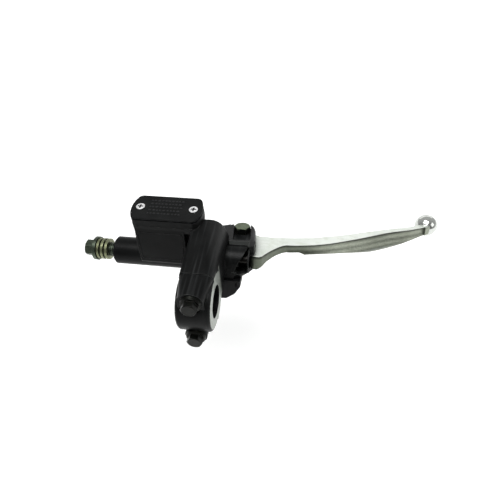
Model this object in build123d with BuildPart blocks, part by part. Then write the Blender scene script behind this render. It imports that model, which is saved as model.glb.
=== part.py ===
from build123d import *
import math
import os

# Front brake master cylinder for a 22.2 mm handlebar, right-hand side.
# Origin: centre of the handlebar bore. +X along the bar towards the lever ball,
# +Y forward, away from the rider, +Z up, square to the reservoir cap. Millimetres.

# ---------- driving dimensions ----------
fit = 0.04                  # radial running clearance of pins and threads

bar_r = 11.1                # handlebar radius
clamp_w = 22.6              # clamp width along the bar
clamp_r = 19.8              # outside radius of the clamp ring
clamp_tilt = 3.5            # the clamp bolts point up towards the rider
cap_split = 0.3             # split faces of the clamp halves, along the bolts
body_split = 0.6
bolt_z = 16.4               # clamp bolts above and below the bar axis
bolt_seat = -16.4           # face the clamp bolt flanges press on
bolt_boss_r = 7.4
boss_end_half = 8.3         # half width of the upper boss where the bolt flange sits

cyl_y = 42.3                # cylinder axis in front of the bar axis
cyl_z = -4.1                # cylinder axis below the bar axis
cyl_r = 10.2
cyl_left = -72.1            # outlet end
bore_r = 6.35               # 12.7 mm piston bore
mouth_r = 8.9               # counterbore for the dust boot and the lever toe
bore_left = -52.0
mouth_left = 4.0

res_x0 = -50.5              # reservoir side walls
res_x1 = -15.5
res_y1 = 59.4
res_rim_z = 28.0            # top of the reservoir rim
flange_h = 4.6
cap_cx = -28.9              # cap centre
cap_cy = 48.8
cap_half_x = 25.0
cap_corner_x = 21.8
cap_half_y = 12.0
cap_top_z = 35.4
cap_pocket_h = 2.3
screw_pitch = 37.4

tilt = 17.0                 # lever plane falls away towards the front
pivot_x = 19.3
pivot_t = 24.2              # pivot in front of the cylinder axis, in the lever plane
pivot_r = 3.0
slot_half = 5.6             # half height of the lever slot
ear_top = 12.7
ear_rear = 3.6              # rear face of the upper ear, in front of the cylinder axis
ear_bottom = -12.0
head_seat = 9.6             # floor of the pivot bolt pocket
lever_half = 5.3
ball_r = 8.9
lobe_x = 32.7               # centre of the lever toe's rounded push face
lobe_t = 0.2
lobe_r = 4.7
nose_r = 4.2
touch_gap = 0.3             # play between moving pieces that push each other
wall_x0 = 27.6              # wall strip at the end of the barrel mouth
wall_x1 = 28.7
wall_r = 10.9

plunger_x = 16.0            # brake-light switch plunger, along the pivot direction
plunger_t = 12.6
plunger_r = 1.4
plunger_top = -3.8
ramp_level = -3.3           # lever underside over the plunger
ramp = 0.47                 # its slope along X
switch_screw_x = 9.5
switch_screw_t = 4.0
switch_floor = -19.5

banjo_x = -88.9             # outer face of the banjo bolt's flange

arm_half = 10.9             # half width of the arm at the clamp
arm_top = 24.2
arm_x1 = 12.0               # right side of the arm at the barrel

# ---------- reference planes ----------
lever_plane = Plane(
    origin=(0, cyl_y, cyl_z),
    x_dir=(1, 0, 0),
    z_dir=(0, math.sin(math.radians(tilt)), math.cos(math.radians(tilt))),
)
# side view of the lever plane: sketch x is object X, sketch y is the pivot direction
side_plane = Plane(origin=lever_plane.origin, x_dir=(1, 0, 0), z_dir=-lever_plane.y_dir)


def across(x):
    """Plane square to X, sketch x is object Y and sketch y is object Z."""
    return Plane(origin=(x, 0, 0), x_dir=(0, 1, 0), z_dir=(1, 0, 0))


def facing_rider(y):
    """Plane square to Y whose normal points at the rider, sketch y is object Z."""
    return Plane(origin=(0, y, 0), x_dir=(1, 0, 0), z_dir=(0, -1, 0))


def clamp_face(y):
    """Plane square to the clamp bolts, normal towards their heads."""
    c = math.cos(math.radians(clamp_tilt))
    s = math.sin(math.radians(clamp_tilt))
    return Plane(origin=(0, y * c, -y * s), x_dir=(1, 0, 0), z_dir=(0, -c, s))


def hex_head(plane, corner_r, height):
    """Hexagon standing on a plane, its far end chamfered round at 30 degrees."""
    top_r = 0.83 * corner_r
    prism = extrude(plane * RegularPolygon(corner_r, 6), height)
    cone = plane * Pos(0, 0, height / 2) * Cone(top_r + 1.732 * height, top_r, height)
    return prism & cone


def level(z):
    return Plane(origin=(0, 0, z))


def cap_outline(inset):
    """Rounded rectangle with bowed ends, shared by cap, rim, gasket and plate."""
    cx = cap_corner_x - inset
    hx = cap_half_x - inset
    hy = cap_half_y - inset
    with BuildSketch(mode=Mode.PRIVATE) as outline:
        with BuildLine():
            Line((-cx, hy), (cx, hy))
            ThreePointArc((cx, hy), (hx, 0), (cx, -hy))
            Line((cx, -hy), (-cx, -hy))
            ThreePointArc((-cx, -hy), (-hx, 0), (-cx, hy))
        make_face()
        fillet(outline.vertices(), radius=max(4.0 - inset, 1.0))
    return outline.sketch


def ring(x, outer, inner, length):
    """Round disc or sleeve about the cylinder axis, starting at x."""
    with BuildSketch(across(x)) as disc:
        with Locations((cyl_y, cyl_z)):
            Circle(outer)
            if inner > 0:
                Circle(inner, mode=Mode.SUBTRACT)
    extrude(disc.sketch, amount=length)


def finish(piece, label):
    """Name a finished piece and write it out."""
    piece.part.label = label
    export_step(piece.part, f"parts/{label}.step")


os.makedirs("parts", exist_ok=True)

# ---------- master body: cylinder, reservoir, arm, clamp half and lever perch ----------
# reservoir tub, its rear wall running down tangent to the barrel
with BuildPart() as tub:
    with BuildSketch(across(res_x0)):
        Polygon(
            (36.9, res_rim_z - 1), (31.5, -1.6), (31.9, -3.0), (34.0, -3.6), (cyl_y, cyl_z - 4),
            (53.0, -2.0), (res_y1, 8.0), (res_y1, res_rim_z - 1), align=None,
        )
    extrude(amount=res_x1 - res_x0)
    with BuildSketch(level(-20.0)):
        with Locations(((res_x0 + res_x1) / 2, (31.0 + res_y1) / 2)):
            RectangleRounded(res_x1 - res_x0, res_y1 - 31.0, 3.2)
    extrude(amount=60.0, mode=Mode.INTERSECT)

# arm from the clamp to the barrel: flat-topped at the clamp, rounding off to the right in front
with BuildPart() as arm:
    with BuildSketch(facing_rider(0.5)):
        with BuildLine():
            Line((-arm_half, -18.5), (-arm_half, 20.4))
            ThreePointArc((-arm_half, 20.4), (-10.0, 23.2), (-7.4, arm_top))
            Line((-7.4, arm_top), (6.4, arm_top))
            ThreePointArc((6.4, arm_top), (9.8, 22.8), (arm_half, 19.4))
            Polyline((arm_half, 19.4), (arm_half, -18.5), (-arm_half, -18.5))
        make_face()
    with BuildSketch(facing_rider(54.0)):
        with BuildLine():
            Line((-arm_half, -18.5), (-arm_half, 25.5))
            ThreePointArc((-arm_half, 25.5), (-10.1, 28.0), (-7.6, 29.0))
            Line((-7.6, 29.0), (-3.0, 28.8))
            ThreePointArc((-3.0, 28.8), (6.2, 20.6), (arm_x1, 8.0))
            Polyline((arm_x1, 8.0), (arm_x1, -18.5), (-arm_half, -18.5))
        make_face()
    loft(ruled=True)
    with BuildSketch(across(-20.0)):
        with BuildLine():
            Polyline((0.5, -18.5), (0.5, 40.0), (40.0, 40.0), (42.0, 30.0))
            ThreePointArc((42.0, 30.0), (49.4, 26.4), (53.0, 14.0))
            Polyline((53.0, 14.0), (51.0, -6.0), (32.0, -7.5), (12.0, -14.5), (0.5, -18.5))
        make_face()
    extrude(amount=40.0, mode=Mode.INTERSECT)

# lever perch: web, upper ear and lower ear
with BuildPart() as perch:
    with BuildSketch(lever_plane.offset(ear_bottom)):
        Polygon((2.0, -4.0), (9.4, -4.0), (9.4, 29.5), (2.0, 25.5), align=None)
    extrude(amount=ear_top - ear_bottom)
    with BuildSketch(lever_plane.offset(slot_half)):
        with BuildLine():
            Polyline((2.0, 25.5), (2.0, ear_rear), (32.0, ear_rear), (29.6, 24.5), (26.5, 29.0))
            ThreePointArc((26.5, 29.0), (pivot_x + 1.5, 32.4), (13.5, 30.4))
            Line((13.5, 30.4), (2.0, 25.5))
        make_face()
    extrude(amount=ear_top - slot_half)
    fillet(
        perch.edges().filter_by(lambda e: abs((e @ 0.5).X - 30.8) < 0.01
                                and e.length > 20).sort_by(Axis.Z)[-1], radius=3.0)
    with BuildSketch(lever_plane.offset(ear_bottom)):
        with BuildLine():
            Polyline((13.5, 31.0), (2.0, 25.5), (6.0, -10.0), (17.2, -9.6), (22.4, -5.6),
                     (28.2, 2.4), (31.0, 8.0), (29.6, 24.5), (26.5, 29.0))
            ThreePointArc((26.5, 29.0), (pivot_x + 1.5, 32.4), (13.5, 31.0))
        make_face()
    extrude(amount=-slot_half - ear_bottom)
    # skirt behind the barrel mouth
    with BuildSketch(side_plane):
        Polygon((8.0, 0), (20.0, 0), (18.0, -5.6), (17.4, ear_bottom), (8.0, ear_bottom), align=None)
    extrude(amount=cyl_r)

with BuildPart() as master_body:
    with BuildSketch(across(cyl_left)):
        with Locations((cyl_y, cyl_z)):
            Circle(cyl_r)
    extrude(amount=27.0 - cyl_left)
    chamfer(master_body.edges().group_by(Axis.X)[0], length=1.2)
    add(tub.part)
    # screw boss at the right end and reservoir rim
    with BuildSketch(level(-6.0)):
        with Locations((cap_cx + screw_pitch / 2, cap_cy)):
            Circle(4.2)
    extrude(amount=res_rim_z + 5.0)
    with BuildSketch(level(res_rim_z)):
        with Locations((cap_cx, cap_cy)):
            add(cap_outline(-0.2))
    extrude(amount=-flange_h)
    add(arm.part)
    # web that ties the reservoir wall to the arm
    with BuildSketch(level(-6.0)):
        Polygon((res_x1 - 0.5, 40.0), (1 - arm_half, 40.0), (1 - arm_half, 50.0), (res_x1 - 0.5, 50.0),
                align=None)
    extrude(amount=28.0)
    # clamp half ring and its bolt bosses, cut back to the split face
    with BuildSketch(across(-clamp_w / 2)):
        Circle(clamp_r)
    extrude(amount=clamp_w)
    with BuildSketch(clamp_face(0)):
        with Locations((0, bolt_z), (0, -bolt_z)):
            Circle(bolt_boss_r)
    extrude(amount=-14.5)
    with BuildSketch(clamp_face(body_split)):
        Rectangle(60, 80)
    extrude(amount=28.0, mode=Mode.SUBTRACT)
    add(perch.part)

    # slanted barrel mouth and lever slot
    with BuildSketch(side_plane.offset(-ear_rear)):
        Polygon((30.0, 15.0), (25.6, 9.0), (20.8, 2.0), (18.2, -slot_half), (40.0, -slot_half),
                (40.0, 15.0), align=None)
    extrude(amount=16.0, mode=Mode.SUBTRACT)
    with BuildSketch(lever_plane.offset(-slot_half)):
        Polygon((9.6, 1.4), (45.0, 1.4), (45.0, 40.0), (9.6, 40.0), align=None)
    extrude(amount=2 * slot_half, mode=Mode.SUBTRACT)

    # pocket for the pivot bolt head, open to the front
    with BuildSketch(lever_plane.offset(head_seat)):
        with Locations(Location((pivot_x, pivot_t), 6.5)):
            with Locations((0, -2.8)):
                RectangleRounded(13.0, 33.0, 2.0)
    extrude(amount=10.0, mode=Mode.SUBTRACT)
    # pivot holes
    with BuildSketch(lever_plane.offset(ear_bottom - 5)):
        with Locations((pivot_x, pivot_t)):
            Circle(pivot_r + fit)
    extrude(amount=40.0, mode=Mode.SUBTRACT)

    # piston bore, counterbore and outlet thread
    with BuildSketch(across(bore_left)):
        with Locations((cyl_y, cyl_z)):
            Circle(bore_r + fit)
    extrude(amount=60.0 - bore_left, mode=Mode.SUBTRACT)
    with BuildSketch(across(mouth_left)):
        with Locations((cyl_y, cyl_z)):
            Circle(mouth_r)
    extrude(amount=40.0, mode=Mode.SUBTRACT)
    with BuildSketch(across(cyl_left - 1)):
        with Locations((cyl_y, cyl_z)):
            Circle(5.0 + fit)
    extrude(amount=14.0, mode=Mode.SUBTRACT)
    with BuildSketch(across(cyl_left)):
        with Locations((cyl_y, cyl_z)):
            Circle(2.0)
    extrude(amount=25.0, mode=Mode.SUBTRACT)

    with BuildSketch(across(5.4)):
        with Locations((cyl_y, cyl_z)):
            Circle(mouth_r + 0.6)
    extrude(amount=1.1, mode=Mode.SUBTRACT)
    # thin wall that closes the mouth behind the lever toe, carried by the ear and a lip below
    with BuildSketch(across(wall_x0)):
        with Locations((cyl_y, cyl_z)):
            Circle(wall_r)
            Circle(wall_r - 1.3, mode=Mode.SUBTRACT)
            with Locations(Location((0, 0), -tilt)):
                with Locations((12.0, 0)):
                    Rectangle(22.0, 30.0, mode=Mode.SUBTRACT)
                with Locations((0, -slot_half - 10.0)):
                    Rectangle(30.0, 20.0, mode=Mode.SUBTRACT)
    extrude(amount=wall_x1 - wall_x0)
    with BuildSketch(lever_plane.offset(slot_half)):
        Polygon((wall_x0, 5.0), (wall_x0, -4.2), (wall_x1, -5.0), (31.4, -2.6), (31.8, 5.0), align=None)
    extrude(amount=ear_top - slot_half)
    with BuildSketch(lever_plane.offset(slot_half + 0.8)):
        with Locations((30.6, -4.4)):
            Circle(1.9)
    extrude(amount=10.0, mode=Mode.SUBTRACT)
    with BuildSketch(lever_plane.offset(ear_bottom)):
        Polygon((16.0, 0), (16.0, -9.8), (17.2, -9.6), (22.4, -5.6), (28.2, 2.4), align=None)
    with BuildSketch(lever_plane.offset(-slot_half)):
        Polygon((16.0, 0), (16.0, -10.4), (20.0, -10.4), (wall_x1, -8.6), (wall_x1, 2.4), align=None)
    loft(ruled=True)
    with BuildSketch(side_plane.offset(3.0)):
        Polygon((18.6, -4.6), (wall_x0, -4.6), (wall_x0, -6.0), (20.2, -7.4), align=None)
    extrude(amount=12.0, mode=Mode.SUBTRACT)
    with BuildSketch(across(10.0)):
        with Locations((cyl_y, cyl_z)):
            Circle(mouth_r)
    extrude(amount=16.6, mode=Mode.SUBTRACT)
    # hole for the switch plunger and tapped hole for the switch screw
    with BuildSketch(lever_plane.offset(ear_bottom - 0.5)):
        with Locations((plunger_x, plunger_t)):
            Circle(plunger_r + 0.35)
        with Locations((switch_screw_x, switch_screw_t)):
            Circle(1.5 + fit)
    extrude(amount=8.0, mode=Mode.SUBTRACT)

    # reservoir chamber, its two ports and the cap screw holes
    with BuildSketch(level(9.0)):
        with Locations(((-43.2 - 18.6) / 2, 47.3)):
            RectangleRounded(43.2 - 18.6, 18.0, 3.0)
    extrude(amount=30.0, mode=Mode.SUBTRACT)
    with BuildSketch(level(-3.0)):
        with Locations((-24.0, cyl_y)):
            Circle(1.5)
        with Locations((-37.0, cyl_y)):
            Circle(0.6)
    extrude(amount=16.0, mode=Mode.SUBTRACT)
    with BuildSketch(level(res_rim_z)):
        with Locations((cap_cx, cap_cy)):
            with GridLocations(screw_pitch, 0, 2, 1):
                Circle(2.0 + fit)
    extrude(amount=-17.0, mode=Mode.SUBTRACT)

    # handlebar bore and clamp bolt holes
    with BuildSketch(across(-30.0)):
        Circle(bar_r)
    extrude(amount=60.0, mode=Mode.SUBTRACT)
    with BuildSketch(clamp_face(0)):
        with Locations((0, bolt_z), (0, -bolt_z)):
            Circle(3.0 + fit)
    extrude(amount=-12.5, mode=Mode.SUBTRACT)
finish(master_body, "master_body")

# ---------- clamp cap and its two flange bolts ----------
with BuildPart() as clamp_cap:
    with BuildSketch(across(-clamp_w / 2)):
        Circle(clamp_r)
    extrude(amount=clamp_w)
    fillet(clamp_cap.edges().filter_by(GeomType.CIRCLE), radius=2.2)
    # upper boss, as wide as the arm at the split and closing round the bolt flange at its end
    with BuildSketch(clamp_face(1.5)):
        with Locations((0, (arm_top + 4.0) / 2)):
            RectangleRounded(2 * arm_half, arm_top - 4.0, 3.9)
    with BuildSketch(clamp_face(bolt_seat)):
        with Locations((-0.4, (arm_top + 4.0) / 2)):
            RectangleRounded(2 * boss_end_half, arm_top - 4.0, boss_end_half - 0.6)
    loft(ruled=True)
    with BuildSketch(clamp_face(1.5)):
        with Locations((0, -bolt_z)):
            Circle(bolt_boss_r)
    extrude(amount=1.5 - bolt_seat)
    # split face, spot faces under the bolt flanges, bolt holes and handlebar bore
    with BuildSketch(clamp_face(cap_split)):
        Rectangle(60, 60)
    extrude(amount=-40.0, mode=Mode.SUBTRACT)
    with BuildSketch(clamp_face(bolt_seat)):
        with Locations((0, bolt_z), (0, -bolt_z)):
            Circle(bolt_boss_r + 0.8)
    extrude(amount=20.0, mode=Mode.SUBTRACT)
    with BuildSketch(clamp_face(1.0)):
        with Locations((0, bolt_z), (0, -bolt_z)):
            Circle(3.3)
    extrude(amount=20.0, mode=Mode.SUBTRACT)
    with BuildSketch(across(-30.0)):
        Circle(bar_r)
    extrude(amount=60.0, mode=Mode.SUBTRACT)
finish(clamp_cap, "clamp_cap")

clamp_hexes = [hex_head(clamp_face(bolt_seat) * Pos(0, z, 0), 5.3, 6.2) for z in (bolt_z, -bolt_z)]
with BuildPart() as clamp_bolts:
    with BuildSketch(clamp_face(11.4)):
        with Locations((0, bolt_z), (0, -bolt_z)):
            Circle(3.0)
    extrude(amount=11.4 - bolt_seat)
    with BuildSketch(clamp_face(bolt_seat)):
        with Locations((0, bolt_z), (0, -bolt_z)):
            Circle(6.8)
    extrude(amount=2.0, taper=16)
    add(clamp_hexes)
finish(clamp_bolts, "clamp_bolts")

# ---------- reservoir cap, screws, diaphragm and plate ----------
with BuildPart() as reservoir_cap:
    with BuildSketch(level(res_rim_z)):
        with Locations((cap_cx, cap_cy)):
            add(cap_outline(0.0))
    extrude(amount=cap_top_z - res_rim_z)
    fillet(reservoir_cap.faces().sort_by(Axis.Z)[-1].edges(), radius=0.7)
    # groove under the edge of the top
    with BuildSketch(level(cap_top_z - 1.2)):
        with Locations((cap_cx, cap_cy)):
            add(cap_outline(-1.0))
            add(cap_outline(0.9), mode=Mode.SUBTRACT)
    extrude(amount=-1.1, mode=Mode.SUBTRACT)
    with BuildSketch(level(res_rim_z)):
        with Locations((cap_cx, cap_cy)):
            add(cap_outline(1.8))
    extrude(amount=cap_pocket_h, mode=Mode.SUBTRACT)
    with Locations(level(cap_top_z)):
        with Locations((cap_cx - screw_pitch / 2, cap_cy), (cap_cx + screw_pitch / 2, cap_cy)):
            CounterSinkHole(radius=2.3, counter_sink_radius=3.35, depth=12.0)
finish(reservoir_cap, "reservoir_cap")

with BuildPart() as cap_screws:
    for x in (cap_cx - screw_pitch / 2, cap_cx + screw_pitch / 2):
        with BuildSketch(Plane(origin=(x, cap_cy, 0), x_dir=(1, 0, 0), z_dir=(0, -1, 0))):
            with BuildLine():
                Polyline((0, 12.5), (1.3, 12.5), (2.0, 13.3), (2.0, 34.15), (3.05, 35.2),
                         (3.05, 35.35), (1.6, 35.6), (0, 35.7), (0, 12.5))
            make_face()
        revolve(axis=Axis((x, cap_cy, 0), (0, 0, 1)))
        with BuildSketch(level(36.0)):
            with Locations((x, cap_cy)):
                Rectangle(3.9, 1.2)
                Rectangle(1.2, 3.9)
        extrude(amount=-2.1, taper=8, mode=Mode.SUBTRACT)
finish(cap_screws, "cap_screws")

with BuildPart() as diaphragm:
    with BuildSketch(level(res_rim_z)):
        with Locations((cap_cx, cap_cy)):
            add(cap_outline(2.0))
            with GridLocations(screw_pitch, 0, 2, 1):
                Circle(2.3, mode=Mode.SUBTRACT)
    extrude(amount=1.2)
    # folded tub hanging into the chamber
    with BuildSketch(level(18.5)):
        with Locations(((-43.2 - 18.6) / 2, 47.3)):
            RectangleRounded(23.6, 17.0, 2.6)
    extrude(amount=res_rim_z - 18.5)
    with BuildSketch(level(19.8)):
        with Locations(((-43.2 - 18.6) / 2, 47.3)):
            RectangleRounded(21.2, 14.6, 1.6)
    extrude(amount=12.0, mode=Mode.SUBTRACT)
finish(diaphragm, "diaphragm")

with BuildPart() as diaphragm_plate:
    with BuildSketch(level(res_rim_z + 1.2)):
        with Locations((cap_cx, cap_cy)):
            add(cap_outline(2.2))
            with GridLocations(screw_pitch, 0, 2, 1):
                Circle(2.3, mode=Mode.SUBTRACT)
        with Locations(((-43.2 - 18.6) / 2, 47.3)):
            RectangleRounded(14.0, 8.0, 1.5, mode=Mode.SUBTRACT)
    extrude(amount=1.0)
finish(diaphragm_plate, "diaphragm_plate")

# ---------- outlet banjo bolt and its washers ----------
banjo_hex = hex_head(Plane(origin=(banjo_x, cyl_y, cyl_z), x_dir=(0, 1, 0), z_dir=(-1, 0, 0)), 6.3, 7.2)
with BuildPart() as banjo_bolt:
    ring(banjo_x, 8.9, 0, 2.4)
    add(banjo_hex)
    ring(banjo_x + 2.4, 4.96, 0, 25.8)
    chamfer(banjo_bolt.edges().filter_by(GeomType.CIRCLE).sort_by(Axis.X)[-1], length=0.8)
    # fluid passage along the shank and across it, where the hose fitting goes
    with BuildSketch(across(banjo_x + 5.0)):
        with Locations((cyl_y, cyl_z)):
            Circle(1.8)
    extrude(amount=40.0, mode=Mode.SUBTRACT)
    with BuildSketch(level(cyl_z - 8.0)):
        with Locations((banjo_x + 10.0, cyl_y)):
            Circle(1.2)
    extrude(amount=16.0, mode=Mode.SUBTRACT)
finish(banjo_bolt, "banjo_bolt")

with BuildPart() as banjo_washers:
    for step in (2.8, 6.0, 9.2):
        ring(banjo_x + step, 7.9, 5.0, 1.8)
finish(banjo_washers, "banjo_washers")

# ---------- piston, its cups, spring, stop washer, circlip and boot ----------
axis_plane = Plane(origin=(0, cyl_y, cyl_z), x_dir=(1, 0, 0), z_dir=(0, -1, 0))
cylinder_axis = Axis((0, cyl_y, cyl_z), (1, 0, 0))
nose_end = lobe_x - lobe_r - touch_gap

with BuildPart() as piston:
    with BuildSketch(axis_plane):
        with BuildLine():
            Polyline((-24.6, 0), (-24.6, 2.4), (-20.0, 2.4), (-20.0, 6.35), (-14.0, 6.35), (-14.0, 4.2),
                     (-5.6, 4.2), (-5.6, 6.35), (-3.6, 6.35), (-3.6, 4.6), (-0.4, 4.6), (-0.4, 6.35),
                     (3.6, 6.35), (3.6, nose_r), (nose_end - 0.6, nose_r), (nose_end, nose_r - 0.6),
                     (nose_end, 0), (-24.6, 0))
        make_face()
    revolve(axis=cylinder_axis)
finish(piston, "piston")

with BuildPart() as primary_cup:
    with BuildSketch(axis_plane):
        Polygon((-20.1, 2.45), (-20.1, 6.2), (-23.9, 6.35), (-24.3, 5.6), (-22.0, 4.9), (-22.0, 2.45),
                align=None)
    revolve(axis=cylinder_axis)
finish(primary_cup, "primary_cup")

with BuildPart() as secondary_cup:
    with BuildSketch(axis_plane):
        Polygon((-0.5, 4.65), (-0.5, 6.1), (-3.1, 6.35), (-3.5, 5.9), (-3.5, 4.65), align=None)
    revolve(axis=cylinder_axis)
finish(secondary_cup, "secondary_cup")

with BuildPart() as return_spring:
    with BuildLine() as coil:
        Helix(pitch=3.35, height=25.6, radius=4.4, center=(-51.0, cyl_y, cyl_z), direction=(1, 0, 0))
    with BuildSketch(coil.line ^ 0):
        Circle(0.5)
    sweep(path=coil.line)
finish(return_spring, "return_spring")

with BuildPart() as stop_washer:
    ring(mouth_left, mouth_r - fit, nose_r + 0.5, 1.2)
finish(stop_washer, "stop_washer")

with BuildPart() as circlip:
    ring(5.45, mouth_r + 0.5, mouth_r - 1.6, 1.0)
    # gap between the eyes, at the bottom of the bore
    with BuildSketch(across(5.0)):
        with Locations((cyl_y, cyl_z - mouth_r)):
            Rectangle(6.0, 8.0)
    extrude(amount=3.0, mode=Mode.SUBTRACT)
    with BuildSketch(across(5.45)):
        with Locations((cyl_y - 3.9, cyl_z - 6.6), (cyl_y + 3.9, cyl_z - 6.6)):
            Circle(1.5)
            Circle(0.7, mode=Mode.SUBTRACT)
    extrude(amount=1.0)
finish(circlip, "circlip")

boot_folds = 3
boot_pitch = 3.1
with BuildPart() as dust_boot:
    # seat ring, bellows and lip
    ring(6.8, mouth_r - fit, nose_r + 1.6, 1.8)
    for fold in range(boot_folds):
        start = 8.6 + fold * boot_pitch
        with BuildSketch(axis_plane) as bellow:
            Polygon((start - 0.4, 6.1), (start + boot_pitch / 2, 7.6), (start + boot_pitch + 0.4, 6.1),
                    (start + boot_pitch + 0.4, 5.3), (start + boot_pitch / 2, 6.8), (start - 0.4, 5.3),
                    align=None)
        revolve(bellow.sketch, axis=cylinder_axis)
    ring(8.6 + boot_folds * boot_pitch, 6.4, nose_r + 0.06, 2.2)
finish(dust_boot, "dust_boot")

# ---------- lever ----------
lever_front = [(33.0, 26.3), (48.0, 26.7), (65.0, 28.9), (88.5, 35.2), (112.7, 45.2), (138.0, 55.8),
               (156.0, 63.0), (163.0, 67.5)]
scoop_r = 8.0
scoop_stations = [(56.0, 16.2, 1.4), (66.0, 18.2, 1.2), (76.4, 20.6, 0.8), (99.7, 30.6, 0.0),
                  (118.0, 41.4, -1.0), (137.0, 51.4, -0.6), (152.0, 56.6, 0.4), (160.0, 59.9, 1.0),
                  (167.0, 63.2, 1.6)]
lever_rear = [(54.0, 15.9), (76.4, 19.2), (99.7, 27.6), (118.0, 38.0), (137.0, 48.2), (158.0, 57.2),
              (168.0, 63.4)]
# scoop along the blade's rear face: centre of a round cutter in plan, level and radius
with BuildPart() as scoop:
    with BuildLine() as scoop_path:
        Spline(*[lever_plane.from_local_coords((x, t - scoop_r, a)) for x, t, a in scoop_stations])
    with BuildSketch(scoop_path.line ^ 0):
        Circle(scoop_r)
    sweep(path=scoop_path.line)

with BuildPart() as lever:
    # plan view
    with BuildSketch(lever_plane.offset(-20.0)):
        with BuildLine():
            Spline(*lever_front)
            Line((163.0, 67.5), (168.0, 63.4))
            Spline(*reversed(lever_rear))
            Spline((54.0, 15.9), (47.6, 11.2), (42.6, 5.2), (38.2, -1.6), tangents=[(-1, -0.35), (-0.6, -1)])
            ThreePointArc((38.2, -1.6), (36.4, -3.9), (lobe_x, lobe_t - lobe_r))
            ThreePointArc((lobe_x, lobe_t - lobe_r), (lobe_x - lobe_r, lobe_t), (lobe_x - 4.2, 2.3))
            Polyline((lobe_x - 4.2, 2.3), (25.5, 8.0), (pivot_x - 7.2, 16.0), (pivot_x - 8.4, pivot_t - 3.2))
            ThreePointArc((pivot_x - 8.4, pivot_t - 3.2), (pivot_x - 2.6, pivot_t + 8.6),
                          (pivot_x + 6.4, pivot_t + 6.3))
            Line((pivot_x + 6.4, pivot_t + 6.3), (33.0, 26.3))
        make_face()
    extrude(amount=40.0)
    # side view: full height at the hub, thin neck, deep blade
    with BuildSketch(side_plane):
        with BuildLine():
            Polyline((5.0, lever_half), (33.0, lever_half), (60.0, 5.0), (150.0, 5.0), (175.0, 5.6))
            Polyline((175.0, 5.6), (175.0, -1.2), (166.0, -1.5))
            Spline((166.0, -1.5), (152.0, -4.6), (138.0, -7.4), (122.0, -8.3), (100.0, -5.6), (80.0, -3.4),
                   (67.5, -3.0))
            Polyline((67.5, -3.0), (63.5, -1.3), (46.0, -1.0), (40.0, -1.9), (33.5, -lever_half),
                     (5.0, -lever_half), (5.0, lever_half))
        make_face()
    extrude(amount=100.0, both=True, mode=Mode.INTERSECT)
    with Locations(lever_plane * Location((167.4, 72.5, 2.0))):
        Sphere(ball_r)
    add(scoop.part, mode=Mode.SUBTRACT)
    # underside ramp that works the switch plunger
    with BuildSketch(side_plane.offset(-8.6)):
        Polygon((5.0, ramp_level + ramp * (plunger_x - 11.0)), (11.0, ramp_level + ramp * (plunger_x - 11.0)),
                (20.2, ramp_level - ramp * (20.2 - plunger_x)), (20.2, -8.0), (5.0, -8.0), align=None)
    extrude(amount=-6.6, mode=Mode.SUBTRACT)
    # pivot hole
    with BuildSketch(lever_plane.offset(-20)):
        with Locations((pivot_x, pivot_t)):
            Circle(pivot_r + fit)
    extrude(amount=40.0, mode=Mode.SUBTRACT)
finish(lever, "lever")

# ---------- pivot bolt and nut ----------
pivot_seat = lever_plane.offset(head_seat) * Pos(pivot_x, pivot_t, 0)
nut_seat = Plane(origin=lever_plane.origin + lever_plane.x_dir * pivot_x + lever_plane.y_dir * pivot_t
                 + lever_plane.z_dir * ear_bottom, x_dir=(1, 0, 0), z_dir=-lever_plane.z_dir)
pivot_hex = hex_head(pivot_seat, 6.3, 5.2)
nut_hex = hex_head(nut_seat, 5.77, 5.4)

with BuildPart() as pivot_bolt:
    add(pivot_hex)
    with BuildSketch(pivot_seat):
        Circle(pivot_r)
    extrude(amount=ear_bottom - head_seat - 6.5)
finish(pivot_bolt, "pivot_bolt")

with BuildPart() as pivot_nut:
    add(nut_hex)
    with BuildSketch(nut_seat):
        Circle(6.6)
    extrude(amount=1.4)
    with BuildSketch(nut_seat):
        Circle(pivot_r + fit)
    extrude(amount=10.0, mode=Mode.SUBTRACT)
finish(pivot_nut, "pivot_nut")

# ---------- brake-light switch under the barrel mouth ----------
with BuildPart() as switch_housing:
    with BuildSketch(side_plane.offset(2.0)):
        Polygon((4.6, ear_bottom), (22.8, ear_bottom), (22.8, -16.6), (18.6, -23.2), (12.4, -27.6),
                (4.6, -28.0), align=None)
    extrude(amount=10.0)
    with BuildSketch(lever_plane.offset(ear_bottom)):
        with Locations((14.0, 7.2)):
            Rectangle(16.0, 18.6)
    extrude(amount=switch_floor - ear_bottom)
    # plunger guide and screw hole
    with BuildSketch(lever_plane.offset(switch_floor + 1.5)):
        with Locations((plunger_x, plunger_t)):
            Circle(plunger_r + fit)
    extrude(amount=20.0, mode=Mode.SUBTRACT)
    with BuildSketch(lever_plane.offset(ear_bottom)):
        with Locations((switch_screw_x, switch_screw_t)):
            Circle(1.6)
    extrude(amount=-20.0, mode=Mode.SUBTRACT)
    # moulded slot in the face towards the rider
    with BuildSketch(side_plane.offset(12.0)):
        with Locations((19.8, -14.8)):
            Rectangle(1.2, 4.0)
    extrude(amount=-1.6, mode=Mode.SUBTRACT)
finish(switch_housing, "switch_housing")

with BuildPart() as switch_plunger:
    with BuildSketch(lever_plane.offset(-16.2)):
        with Locations((plunger_x, plunger_t)):
            Circle(plunger_r)
    extrude(amount=plunger_top - plunger_r + 16.2)
    with Locations(lever_plane * Location((plunger_x, plunger_t, plunger_top - plunger_r))):
        Sphere(plunger_r)
finish(switch_plunger, "switch_plunger")

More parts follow.
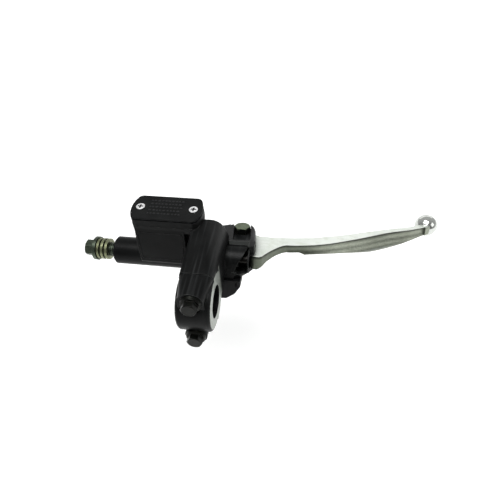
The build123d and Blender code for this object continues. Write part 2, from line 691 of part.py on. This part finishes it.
with BuildPart() as switch_screw:
    with BuildSketch(lever_plane.offset(switch_floor)):
        with Locations((switch_screw_x, switch_screw_t)):
            Circle(1.5)
    extrude(amount=11.0)
    with BuildSketch(lever_plane.offset(switch_floor)):
        with Locations((switch_screw_x, switch_screw_t)):
            Circle(2.8)
    extrude(amount=-2.0, taper=12)
    with BuildSketch(lever_plane.offset(switch_floor - 2.5)):
        with Locations((switch_screw_x, switch_screw_t)):
            Rectangle(3.2, 0.8)
            Rectangle(0.8, 3.2)
    extrude(amount=1.7, mode=Mode.SUBTRACT)
finish(switch_screw, "switch_screw")

with BuildPart() as switch_terminals:
    with BuildSketch(Plane(origin=lever_plane.origin + Vector(4.6, 0, 0),
                           x_dir=-lever_plane.y_dir, z_dir=(-1, 0, 0))):
        with Locations((7.0, -16.0), (7.0, -22.0)):
            Rectangle(4.8, 0.8)
    extrude(amount=7.5)
finish(switch_terminals, "switch_terminals")
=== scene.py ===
import math

import bmesh
import bpy
from mathutils import Matrix, Vector


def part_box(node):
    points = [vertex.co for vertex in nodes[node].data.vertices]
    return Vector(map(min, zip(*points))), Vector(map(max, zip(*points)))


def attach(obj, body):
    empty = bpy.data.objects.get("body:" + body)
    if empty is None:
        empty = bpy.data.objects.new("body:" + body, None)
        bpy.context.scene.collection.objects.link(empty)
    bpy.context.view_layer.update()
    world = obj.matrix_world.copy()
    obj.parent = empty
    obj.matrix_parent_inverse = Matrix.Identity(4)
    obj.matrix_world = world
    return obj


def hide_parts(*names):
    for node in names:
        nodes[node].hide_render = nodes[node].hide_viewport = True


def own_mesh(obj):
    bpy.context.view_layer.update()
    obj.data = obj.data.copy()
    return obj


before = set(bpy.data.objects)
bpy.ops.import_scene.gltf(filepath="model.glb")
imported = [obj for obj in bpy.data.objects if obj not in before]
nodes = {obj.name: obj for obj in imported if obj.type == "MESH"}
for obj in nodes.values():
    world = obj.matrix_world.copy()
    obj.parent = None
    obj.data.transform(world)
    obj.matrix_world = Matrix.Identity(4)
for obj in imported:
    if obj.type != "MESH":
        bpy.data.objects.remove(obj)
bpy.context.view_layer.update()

# square to the plane in which the lever swings
LEVER_UP = Vector((0, 0.29237, 0.95630))
BALL_R = 0.0089

# ---------------------------------------------------------------- material kit


def ranged(tree, source, low, high, to_low, to_high):
    """Map Range node from low..high to to_low..to_high."""
    made = tree.nodes.new("ShaderNodeMapRange")
    for key, value in (("From Min", low), ("From Max", high),
                       ("To Min", to_low), ("To Max", to_high)):
        made.inputs[key].default_value = value
    tree.links.new(source, made.inputs["Value"])
    return made


class Maker:
    """Adds shader nodes to one material and links them in order."""

    def __init__(self, name):
        self.material = bpy.data.materials.new(name)
        self.material.use_nodes = True
        self.tree = self.material.node_tree
        self.bsdf = self.tree.nodes["Principled BSDF"]
        self.place = self.node("ShaderNodeTexCoord").outputs["Object"]

    def node(self, kind, **settings):
        made = self.tree.nodes.new(kind)
        for key, value in settings.items():
            setattr(made, key, value)
        return made

    def wire(self, source, target):
        self.tree.links.new(source, target)

    def noise(self, scale, detail=3.0, rough=0.55, stretch=(1, 1, 1)):
        where = self.place
        if stretch != (1, 1, 1):
            mapping = self.node("ShaderNodeMapping")
            mapping.inputs["Scale"].default_value = stretch
            self.wire(where, mapping.inputs["Vector"])
            where = mapping.outputs["Vector"]
        made = self.node("ShaderNodeTexNoise")
        made.inputs["Scale"].default_value = scale
        made.inputs["Detail"].default_value = detail
        made.inputs["Roughness"].default_value = rough
        self.wire(where, made.inputs["Vector"])
        return made.outputs["Fac"]

    def cells(self, scale):
        made = self.node("ShaderNodeTexVoronoi")
        made.inputs["Scale"].default_value = scale
        self.wire(self.place, made.inputs["Vector"])
        return made.outputs["Distance"]

    def remap(self, source, low, high, to_low, to_high):
        return ranged(self.tree, source, low, high, to_low, to_high).outputs["Result"]

    def math(self, operation, a, b):
        made = self.node("ShaderNodeMath", operation=operation, use_clamp=True)
        for socket, value in zip(made.inputs, (a, b)):
            if isinstance(value, (int, float)):
                socket.default_value = value
            else:
                self.wire(value, socket)
        return made.outputs["Value"]

    def mix(self, factor, a, b):
        made = self.node("ShaderNodeMix", data_type="RGBA")
        self.wire(factor, made.inputs["Factor"])
        for socket, value in ((made.inputs[6], a), (made.inputs[7], b)):
            if isinstance(value, tuple):
                socket.default_value = (*value, 1.0)
            else:
                self.wire(value, socket)
        return made.outputs[2]

    def blend(self, factor, a, b):
        """Mix of two plain values, such as two roughness patterns."""
        made = self.node("ShaderNodeMix", data_type="FLOAT")
        self.wire(factor, made.inputs[0])
        self.wire(a, made.inputs[2])
        self.wire(b, made.inputs[3])
        return made.outputs[0]

    def coordinate(self, axis):
        split = self.node("ShaderNodeSeparateXYZ")
        self.wire(self.place, split.inputs["Vector"])
        return split.outputs[axis]

    def inside(self, x, y, z):
        """1 where all three coordinates are past the given corner, 0 elsewhere."""
        past = [self.math("GREATER_THAN", self.coordinate(axis), least)
                for axis, least in (("X", x), ("Y", y), ("Z", z))]
        return self.math("MULTIPLY", past[0], self.math("MULTIPLY", past[1], past[2]))

    def facing(self, axis):
        """How much the surface faces along a world axis."""
        geometry = self.node("ShaderNodeNewGeometry")
        split = self.node("ShaderNodeSeparateXYZ")
        self.wire(geometry.outputs["Normal"], split.inputs["Vector"])
        return split.outputs[axis]

    def towards(self, direction):
        """How much the surface faces along any direction."""
        geometry = self.node("ShaderNodeNewGeometry")
        dot = self.node("ShaderNodeVectorMath", operation="DOT_PRODUCT")
        dot.inputs[1].default_value = direction
        self.wire(geometry.outputs["Normal"], dot.inputs[0])
        return dot.outputs["Value"]

    def level(self, direction):
        """Height of a point of the rest frame along a direction."""
        made = self.node("ShaderNodeVectorMath", operation="DOT_PRODUCT")
        made.inputs[1].default_value = direction
        self.wire(self.place, made.inputs[0])
        return made.outputs["Value"]

    def distance(self, centre):
        """Distance from a point of the rest frame."""
        made = self.node("ShaderNodeVectorMath", operation="DISTANCE")
        made.inputs[1].default_value = centre
        self.wire(self.place, made.inputs[0])
        return made.outputs["Value"]

    def shelter(self, reach):
        """Near 1 in the open, falling to 0 deep in corners and pockets."""
        made = self.node("ShaderNodeAmbientOcclusion", samples=6)
        made.inputs["Distance"].default_value = reach
        return made.outputs["AO"]

    def edges(self, radius):
        """Mask of outside and inside edges, and the rounded normal that softens them."""
        bevel = self.node("ShaderNodeBevel", samples=6)
        bevel.inputs["Radius"].default_value = radius
        geometry = self.node("ShaderNodeNewGeometry")
        dot = self.node("ShaderNodeVectorMath", operation="DOT_PRODUCT")
        self.wire(bevel.outputs["Normal"], dot.inputs[0])
        self.wire(geometry.outputs["Normal"], dot.inputs[1])
        mask = self.remap(dot.outputs["Value"], 0.98, 0.8, 0.0, 1.0)
        return mask, bevel.outputs["Normal"]

    def bump(self, height, distance, strength, normal=None):
        made = self.node("ShaderNodeBump")
        made.inputs["Distance"].default_value = distance
        made.inputs["Strength"].default_value = strength
        self.wire(height, made.inputs["Height"])
        if normal is not None:
            self.wire(normal, made.inputs["Normal"])
        return made.outputs["Normal"]

    def done(self, color, rough, normal, metallic=0.0, specular=0.5):
        for value, socket in ((color, "Base Color"), (rough, "Roughness"), (normal, "Normal"),
                              (metallic, "Metallic")):
            if isinstance(value, (int, float)):
                self.bsdf.inputs[socket].default_value = value
            else:
                self.wire(value, self.bsdf.inputs[socket])
        self.bsdf.inputs["Specular IOR Level"].default_value = specular
        return self.material


def painted_casting():
    """Satin black paint over a die casting: soft orange peel, dusty mottling, worn edges, painted
    shade in pockets, painted highlight streaks and painted light on one ear face.
    """
    arm_start = -0.0115
    ring_end = 0.01122
    bare_front = 0.0185
    m = Maker("body_paint")
    mottle = m.remap(m.noise(55, 4), 0.35, 0.7, 0, 1)
    color = m.mix(mottle, (0.0028, 0.0030, 0.0030), (0.0062, 0.0066, 0.0066))
    # painted highlight: long light streaks, standing in for reflections, on the upward faces of the
    # arm and clamp
    streak_pattern = m.noise(430, 2, rough=0.4, stretch=(1, 0.045, 0.2))
    upward = m.remap(m.facing("Z"), 0.35, 0.8, 0, 1)
    on_arm = m.math("MULTIPLY", upward,
                    m.remap(m.coordinate("X"), arm_start - 0.001, arm_start, 0, 1))
    streak_highlight = m.math("MULTIPLY", on_arm, m.remap(streak_pattern, 0.5, 0.68, 0, 0.7))
    color = m.mix(streak_highlight, color, (0.022, 0.023, 0.0235))
    specks = m.remap(m.noise(2600, 2), 0.68, 0.78, 0, 0.3)
    color = m.mix(specks, color, (0.025, 0.026, 0.027))
    worn, soft = m.edges(0.0006)
    rub = m.math("MULTIPLY", worn, m.remap(m.noise(380, 3), 0.4, 0.68, 0.15, 0.75))
    color = m.mix(rub, color, (0.085, 0.09, 0.086))
    # painted shade: pockets and grooves are darkened near black by ambient occlusion, and the same
    # mask keeps them rough
    crevice_shade = m.remap(m.shelter(0.006), 0.3, 0.62, 1, 0)
    color = m.mix(crevice_shade, color, (0.0008, 0.0008, 0.0008))
    # painted light: the rear face of the perch's upper ear is coloured lighter grey
    ear_face_light = m.inside(0.0125, 0.0475, 0.0005)
    ear_face_light = m.math("MULTIPLY", ear_face_light, m.remap(m.facing("Y"), -0.85, -0.93, 0, 0.9))
    color = m.mix(ear_face_light, color, (0.06, 0.064, 0.061))
    satin = m.remap(m.noise(900, 3), 0.3, 0.75, 0.30, 0.44)
    rough = m.math("MAXIMUM", satin, m.math("MULTIPLY", crevice_shade, 0.9))
    normal = m.bump(m.noise(700, 2), 0.00022, 0.22, soft)
    normal = m.bump(m.noise(2400, 2), 0.00006, 0.2, normal)
    # ends of the clamp ring, faced off in the lathe after painting
    outward = m.math("GREATER_THAN", m.facing("X"), 0.97)
    beyond = m.math("GREATER_THAN", m.coordinate("X"), ring_end)
    behind = m.remap(m.coordinate("Y"), bare_front, bare_front - 0.003, 0, 1)
    bare = m.math("MULTIPLY", m.math("MULTIPLY", outward, beyond), behind)
    bright = m.mix(m.remap(m.noise(500, 3, stretch=(0.2, 1, 1)), 0.3, 0.7, 0, 1),
                   (0.21, 0.23, 0.20), (0.37, 0.395, 0.36))
    color = m.mix(bare, color, bright)
    metallic = m.remap(bare, 0, 1, 0, 0.85)
    return m.done(color, rough, normal, metallic, specular=0.078)


def crackle_cover(top):
    """Coarse textured black paint of the reservoir cap."""
    m = Maker("cap_paint")
    mottle = m.remap(m.noise(70, 4), 0.35, 0.7, 0, 1)
    color = m.mix(mottle, (0.0034, 0.0037, 0.0037), (0.0080, 0.0085, 0.0085))
    worn, soft = m.edges(0.0006)
    rub = m.math("MULTIPLY", worn, m.remap(m.noise(420, 3), 0.4, 0.7, 0.1, 0.5))
    color = m.mix(rub, color, (0.055, 0.057, 0.06))
    # the raised pattern is rubbed a little lighter than the ground between it
    raised = m.remap(m.coordinate("Z"), top + 0.00004, top + 0.0002, 0, 0.6)
    color = m.mix(raised, color, (0.026, 0.027, 0.028))
    rough = m.remap(m.noise(1200, 3), 0.3, 0.75, 0.42, 0.6)
    normal = m.bump(m.cells(1500), 0.00016, 0.4, soft)
    normal = m.bump(m.noise(1900, 3), 0.0001, 0.35, normal)
    return m.done(color, rough, normal, specular=0.07)


def bright_casting(ball_centre, top_level):
    """Cast aluminium of the lever: painted highlight on the top faces, painted shade below and
    beside them, greyer and grainier cast colour elsewhere.
    """
    neck_start, neck_end = 0.066, 0.088
    m = Maker("lever_casting")
    streak = m.noise(210, 4, stretch=(0.12, 1.0, 1.0))
    cloud = m.remap(m.noise(38, 4), 0.3, 0.7, 0, 1)
    cast = m.mix(cloud, (0.23, 0.25, 0.20), (0.37, 0.395, 0.325))
    cast = m.mix(m.remap(m.noise(620, 4), 0.42, 0.72, 0, 0.5), cast, (0.15, 0.165, 0.13))
    # painted highlight: faces turned up along the lever get a near-white colour, and their edges
    # are lighter still
    painted_lit_top = m.mix(cloud, (0.70, 0.745, 0.69), (0.80, 0.835, 0.785))
    painted_lit_top = m.mix(m.remap(streak, 0.5, 0.75, 0, 0.4), painted_lit_top, (0.56, 0.60, 0.51))
    painted_lit_top = m.mix(m.remap(m.noise(150, 5), 0.5, 0.68, 0, 0.5), painted_lit_top, (0.58, 0.625, 0.53))
    # painted shade on the neck beside the perch, darker towards the hub
    neck_shade = m.remap(m.coordinate("X"), neck_start, neck_end, 0.75, 0)
    cast = m.mix(neck_shade, cast, (0.07, 0.082, 0.06))
    top = m.remap(m.towards(LEVER_UP), 0.72, 0.93, 0, 1)
    ball = m.math("LESS_THAN", m.distance(ball_centre), BALL_R + 0.00015)
    color = m.mix(top, cast, painted_lit_top)
    color = m.mix(ball, color, (0.60, 0.62, 0.59))
    pits = m.remap(m.noise(1700, 2), 0.66, 0.76, 0, 0.4)
    color = m.mix(pits, color, (0.24, 0.255, 0.215))
    worn, soft = m.edges(0.0008)
    color = m.mix(m.math("MULTIPLY", m.math("MULTIPLY", worn, top), 0.3), color, (0.86, 0.87, 0.85))
    # painted shade: a dark line along the edges below the top, darkest under the scoop's overhang
    beside = m.math("SUBTRACT", m.remap(m.towards(LEVER_UP), 0.4, 0.7, 1, 0), ball)
    clear = m.remap(m.distance(ball_centre), 0.0095, 0.02, 0, 1)
    shade_line = m.remap(m.level(LEVER_UP), top_level - 0.0026, top_level - 0.0010, 0, 1)
    shade_line = m.math("MULTIPLY", m.math("MULTIPLY", shade_line, beside), clear)
    shade_line = m.math("MULTIPLY", shade_line, m.remap(m.noise(300, 3), 0.3, 0.6, 0.6, 0.92))
    color = m.mix(shade_line, color, (0.02, 0.022, 0.018))
    overhang_shade = m.math("MULTIPLY", m.remap(m.towards(LEVER_UP), -0.05, -0.6, 0, 0.7), beside)
    color = m.mix(overhang_shade, color, (0.035, 0.038, 0.03))
    # painted shade inside the perch's slot, near black
    color = m.mix(m.remap(m.shelter(0.022), 0.3, 0.9, 0.92, 0), color, (0.02, 0.022, 0.018))
    grain = m.remap(m.noise(320, 4), 0.3, 0.75, 0.3, 0.48)
    polish = m.remap(m.noise(320, 4), 0.3, 0.75, 0.10, 0.2)
    rough = m.blend(ball, grain, polish)
    normal = m.bump(m.noise(850, 3), 0.00012, 0.3, soft)
    normal = m.bump(streak, 0.0002, 0.04, normal)
    return m.done(color, rough, normal, metallic=0.92)


def plated(name, low, high, rough_low, rough_high, crown=None):
    """Plated steel hardware with cloudy plating, worn edges, dirt, and painted shade in the
    corners.
    """
    dirt_and_shade = (0.02, 0.02, 0.015)
    m = Maker(name)
    cloud = m.remap(m.noise(260, 4), 0.3, 0.7, 0, 1)
    color = m.mix(cloud, low, high)
    if crown:
        # painted shade: the flats of the head are coloured nearly black, and only the crown shows
        # the zinc colour
        lit_crown = m.remap(m.towards(crown), 0.25, 0.55, 0, 1)
        color = m.mix(lit_crown, (0.008, 0.009, 0.008), color)
    # painted shade: corners and recesses darkened by ambient occlusion
    color = m.mix(m.remap(m.shelter(0.003), 0.3, 0.8, 0.7, 0), color, dirt_and_shade)
    dirt = m.remap(m.noise(700, 3), 0.55, 0.8, 0, 0.55)
    color = m.mix(dirt, color, dirt_and_shade)
    worn, soft = m.edges(0.0003)
    bright = tuple(min(1.0, 1.7 * c + 0.05) for c in high)
    rub = m.math("MULTIPLY", worn, m.remap(m.noise(900, 2), 0.3, 0.6, 0.2, 0.8))
    color = m.mix(rub, color, bright)
    rough = m.remap(m.noise(800, 3), 0.3, 0.75, rough_low, rough_high)
    normal = m.bump(m.noise(1600, 2), 0.00005, 0.3, soft)
    return m.done(color, rough, normal, metallic=0.9)


def screw_plating():
    """Bright zinc screws; the driver recess and steep walls are painted near black as shade."""
    recess_top = 0.0346
    m = Maker("screw_zinc")
    turned = m.noise(900, 2, stretch=(1, 1, 0.2))
    color = m.mix(m.remap(turned, 0.3, 0.7, 0, 1), (0.78, 0.79, 0.80), (0.93, 0.93, 0.93))
    # painted shade: near black on steep walls and deep in the recess
    walls = m.math("LESS_THAN", m.facing("Z"), 0.5)
    recess_shade = m.math("MAXIMUM", walls, m.math("LESS_THAN", m.coordinate("Z"), recess_top))
    color = m.mix(recess_shade, color, (0.004, 0.004, 0.004))
    worn, soft = m.edges(0.0002)
    rough = m.remap(m.noise(1500, 3), 0.3, 0.75, 0.25, 0.42)
    normal = m.bump(m.noise(2200, 2), 0.00003, 0.3, soft)
    metallic = m.remap(recess_shade, 0, 1, 0.75, 0.0)
    return m.done(color, rough, normal, metallic=metallic)


def moulded(name, low, high, rough_low, rough_high, grain, depth):
    """Moulded plastic or rubber with a fine mould grain."""
    m = Maker(name)
    cloud = m.remap(m.noise(120, 3), 0.3, 0.7, 0, 1)
    color = m.mix(cloud, low, high)
    worn, soft = m.edges(0.0003)
    rub = m.math("MULTIPLY", worn, 0.3)
    color = m.mix(rub, color, tuple(min(1.0, 3 * c + 0.02) for c in high))
    rough = m.remap(m.noise(900, 3), 0.3, 0.75, rough_low, rough_high)
    normal = m.bump(m.noise(grain, 2), depth, 0.3, soft)
    return m.done(color, rough, normal, specular=0.12)


body_paint = painted_casting()
cap_paint = crackle_cover(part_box("reservoir_cap")[1].z)
# the ball is the lever's outermost, foremost and lowest feature
lever_low, lever_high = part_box("lever")
# height of the flat top, measured square to the lever plane
blade_top = max(v.co.dot(LEVER_UP) for v in nodes["lever"].data.vertices if v.co.x < 0.13)
ball_middle = (lever_high.x - BALL_R, lever_high.y - BALL_R, lever_low.z + BALL_R)
lever_metal = bright_casting(ball_middle, blade_top)
olive_zinc = plated("olive_zinc", (0.085, 0.108, 0.066), (0.15, 0.178, 0.118), 0.4, 0.6,
                    crown=LEVER_UP)
banjo_zinc = plated("banjo_zinc", (0.045, 0.058, 0.042), (0.095, 0.115, 0.085), 0.3, 0.5)
washer_zinc = plated("washer_zinc", (0.14, 0.155, 0.085), (0.25, 0.265, 0.16), 0.3, 0.5)
bolt_steel = plated("bolt_steel", (0.002, 0.0022, 0.0018), (0.008, 0.0088, 0.007), 0.30, 0.48)
plain_steel = plated("plain_steel", (0.40, 0.40, 0.40), (0.58, 0.58, 0.57), 0.25, 0.42)
screw_zinc = screw_plating()
anodised = plated("piston_anodised", (0.005, 0.0048, 0.0045), (0.013, 0.012, 0.011), 0.25, 0.4)
rubber = moulded("black_rubber", (0.008, 0.008, 0.008), (0.02, 0.02, 0.02), 0.55, 0.75,
                 grain=1400, depth=0.00006)
plastic = moulded("switch_plastic", (0.002, 0.002, 0.0022), (0.005, 0.005, 0.0055), 0.4, 0.56,
                  grain=2400, depth=0.00005)
brass = plated("terminal_brass", (0.55, 0.38, 0.14), (0.75, 0.56, 0.25), 0.25, 0.4)

finishes = {
    "master_body": body_paint, "clamp_cap": body_paint, "clamp_bolts": bolt_steel,
    "reservoir_cap": cap_paint, "cap_screws": screw_zinc, "diaphragm": rubber,
    "diaphragm_plate": plastic, "banjo_bolt": banjo_zinc, "banjo_washers": washer_zinc,
    "return_spring": plain_steel, "stop_washer": plain_steel, "circlip": plain_steel,
    "dust_boot": rubber, "pivot_bolt": olive_zinc, "pivot_nut": olive_zinc,
    "switch_housing": plastic, "switch_screw": screw_zinc, "switch_terminals": brass,
    "lever": lever_metal, "piston": anodised, "primary_cup": rubber, "secondary_cup": rubber,
    "switch_plunger": plastic,
}
for name, material in finishes.items():
    shape = nodes[name].data
    shape.materials.clear()
    shape.materials.append(material)

# ---------------------------------------------------------------- extra pieces


def piece(name, bm, material, body):
    """Turns a bmesh into an object that rides on a body."""
    bmesh.ops.recalc_face_normals(bm, faces=bm.faces)
    data = bpy.data.meshes.new(name)
    bm.to_mesh(data)
    bm.free()
    for face in data.polygons:
        face.use_smooth = True
    data.materials.append(material)
    made = bpy.data.objects.new(name, data)
    bpy.context.scene.collection.objects.link(made)
    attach(made, body)
    return made


def pill(bm, centre, length, width, height):
    """Low rounded bar, domed on top, lying along X on a level surface."""
    steps = 6
    rings = []
    for share, lift in ((1.0, -0.35), (1.0, 0.45), (0.72, 0.85), (0.3, 1.0)):
        radius = width / 2 * share
        half = max(length / 2 - width / 2, 0.0)
        points = []
        for end in (1, -1):
            for step in range(steps + 1):
                angle = math.pi * (step / steps - 0.5)
                along = end * (half + radius * math.cos(angle))
                beside = end * radius * math.sin(angle)
                points.append(bm.verts.new(centre + Vector((along, beside, lift * height))))
        rings.append(points)
    count = len(rings[0])
    for low, high in zip(rings, rings[1:]):
        for i in range(count):
            bm.faces.new((low[i], low[(i + 1) % count], high[(i + 1) % count], high[i]))
    bm.faces.new(rings[-1])
    bm.faces.new(list(reversed(rings[0])))


def tube(bm, points, radius, sides=8, closed=True):
    """Thin round bead along a list of points."""
    rings = []
    count = len(points)
    for i, point in enumerate(points):
        before = points[(i - 1) % count] if closed or i > 0 else point
        after = points[(i + 1) % count] if closed or i < count - 1 else point
        along = (after - before).normalized()
        first = along.cross(Vector((0.13, 0.21, 0.97))).normalized()
        second = along.cross(first)
        rings.append([bm.verts.new(point + radius * (math.cos(a) * first + math.sin(a) * second))
                      for a in (2 * math.pi * k / sides for k in range(sides))])
    last = count if closed else count - 1
    for i in range(last):
        low, high = rings[i], rings[(i + 1) % count]
        for k in range(sides):
            bm.faces.new((low[k], low[(k + 1) % sides], high[(k + 1) % sides], high[k]))
    if not closed:
        bm.faces.new(rings[0])
        bm.faces.new(list(reversed(rings[-1])))


# raised pattern on the reservoir cap: five rows of short bars, each in its own rhythm
cap_low, cap_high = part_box("reservoir_cap")
cap_centre = (cap_low + cap_high) / 2
bars = bmesh.new()
for row in range(5):
    x = cap_centre.x - 0.0122
    step = 0
    while x < cap_centre.x + 0.0105:
        length = 0.0010 + 0.0013 * math.sin(2.3 * step + 1.7 * row) ** 2
        y = cap_centre.y + 0.0033 * (2 - row)
        pill(bars, Vector((x + length / 2, y, cap_high.z)), length, 0.0016, 0.00024)
        x += length + 0.0008
        step += 1
piece("cap_raised_bars", bars, cap_paint, "master")

# raised frame around the panel on the reservoir's rear wall, which leans forward going up
frame_beads = bmesh.new()
corner = 0.0022
wall_y, wall_lean = 0.0318, 0.1888
centres = ((-0.0192, 0.0205), (-0.0468, 0.0205), (-0.0462, 0.0030), (-0.0198, 0.0030))
path = []
for turn, (x, z) in enumerate(centres):
    for step in range(7):
        angle = math.pi / 2 * (turn + step / 6)
        px = x + corner * math.cos(angle)
        pz = z + corner * math.sin(angle)
        path.append(Vector((px, wall_y + wall_lean * pz, pz)))
tube(frame_beads, path, 0.00032)
piece("reservoir_panel_bead", frame_beads, body_paint, "master")

# the return spring closes up in front of the piston
spring_low, spring_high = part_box("return_spring")
spring_mid = (spring_low + spring_high) / 2
end_gap = 0.0006
wire_r = 0.00048
coil_r = (spring_high.z - spring_low.z) / 2 - end_gap
coil = bmesh.new()
coils = 7.6
steps = 24 * 8
first_x = spring_low.x + end_gap
length = spring_high.x - spring_low.x - 2 * end_gap
tube(coil, [Vector((first_x + length * k / steps,
                    spring_mid.y + coil_r * math.cos(2 * math.pi * coils * k / steps),
                    spring_mid.z + coil_r * math.sin(2 * math.pi * coils * k / steps)))
            for k in range(steps + 1)], wire_r, closed=False)
spring = piece("spring_coil", coil, plain_steel, "master")
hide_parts("return_spring")
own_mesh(spring)

# thread crests on the bare length of the banjo bolt's shank
bolt_low, bolt_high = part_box("banjo_bolt")
shank = (bolt_low + bolt_high) / 2
thread = bmesh.new()
turns = 5
pitch = 0.00125
thread_r = 0.00492
start_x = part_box("banjo_washers")[1].x + 0.0004
tube(thread, [Vector((start_x + pitch * k / 20, shank.y + thread_r * math.cos(math.pi * k / 10),
                      shank.z + thread_r * math.sin(math.pi * k / 10)))
              for k in range(20 * turns)], 0.00028, sides=6, closed=False)
piece("banjo_thread", thread, bolt_steel, "master")

# ---------------------------------------------------------------- stage, light and camera
floor_mesh = bpy.data.meshes.new("floor")
far, floor_z = 6, -0.16
corners = ((-far, -far), (far, -far), (far, far), (-far, far))
floor_mesh.from_pydata([(x, y, floor_z) for x, y in corners], [], [(0, 1, 2, 3)])
floor = bpy.data.objects.new("floor", floor_mesh)
bpy.context.scene.collection.objects.link(floor)
pale = bpy.data.materials.new("pale_floor")
pale.use_nodes = True
cove = pale.node_tree
surface = cove.nodes["Principled BSDF"]
surface.inputs["Base Color"].default_value = (0.93, 0.935, 0.93, 1)
surface.inputs["Roughness"].default_value = 0.9
# painted light: the floor glows, its emission rising away from the object like a lit studio cove
where = cove.nodes.new("ShaderNodeTexCoord")
reach = cove.nodes.new("ShaderNodeVectorMath")
reach.operation = "LENGTH"
cove.links.new(where.outputs["Object"], reach.inputs[0])
lift = ranged(cove, reach.outputs["Value"], 0.2, 0.9, 0.25, 0.75)
surface.inputs["Emission Color"].default_value = (1, 1, 1, 1)
cove.links.new(lift.outputs["Result"], surface.inputs["Emission Strength"])
floor_mesh.materials.append(pale)


def softbox(name, place, target, size_x, size_y, power):
    lamp = bpy.data.lights.new(name, "AREA")
    lamp.shape = "RECTANGLE"
    lamp.size = size_x
    lamp.size_y = size_y
    lamp.energy = power
    made = bpy.data.objects.new(name, lamp)
    bpy.context.scene.collection.objects.link(made)
    made.location = place
    made.rotation_euler = (Vector(place) - Vector(target)).to_track_quat("Z", "Y").to_euler()
    made.visible_camera = False


centre = (0.04, 0.05, 0.0)
softbox("key_softbox", (-0.05, -0.12, 0.8), centre, 0.6, 0.5, 8.5)
softbox("far_softbox", (0.15, 1.0, 0.26), centre, 1.4, 0.4, 1.5)
softbox("right_softbox", (0.75, -0.15, 0.35), centre, 0.4, 0.4, 0.8)

world = bpy.data.worlds.new("studio")
world.use_nodes = True
# white to look at; as a light it is dimmer, and dimmest from the rider's side
sky = world.node_tree
seen = sky.nodes.new("ShaderNodeLightPath")
direction = sky.nodes.new("ShaderNodeTexCoord")
parts = sky.nodes.new("ShaderNodeSeparateXYZ")
sky.links.new(direction.outputs["Generated"], parts.inputs["Vector"])
glow = ranged(sky, parts.outputs["Y"], -0.6, 0.5, 0.16, 0.5)
strength = ranged(sky, seen.outputs["Is Camera Ray"], 0, 1, 0, 1)
sky.links.new(glow.outputs["Result"], strength.inputs["To Min"])
sky.links.new(strength.outputs["Result"], sky.nodes["Background"].inputs["Strength"])
sky.nodes["Background"].inputs["Color"].default_value = (1.0, 1.0, 1.0, 1)
bpy.context.scene.world = world
bpy.context.scene.view_settings.view_transform = "Standard"

camera_data = bpy.data.cameras.new("camera")
camera_data.sensor_width = 36.0
camera_data.lens = 30.3
camera_data.clip_start = 0.01
camera = bpy.data.objects.new("camera", camera_data)
bpy.context.scene.collection.objects.link(camera)
camera.location = (0.05865, -0.15428, 0.21889)
aim = Vector((0.0226, 0.05346, 0.0))
look = (camera.location - aim).to_track_quat("Z", "Y").to_matrix().to_4x4()
roll = Matrix.Rotation(math.radians(-3.02), 4, "Z")
camera.matrix_world = Matrix.Translation(camera.location) @ look @ roll
bpy.context.scene.camera = camera
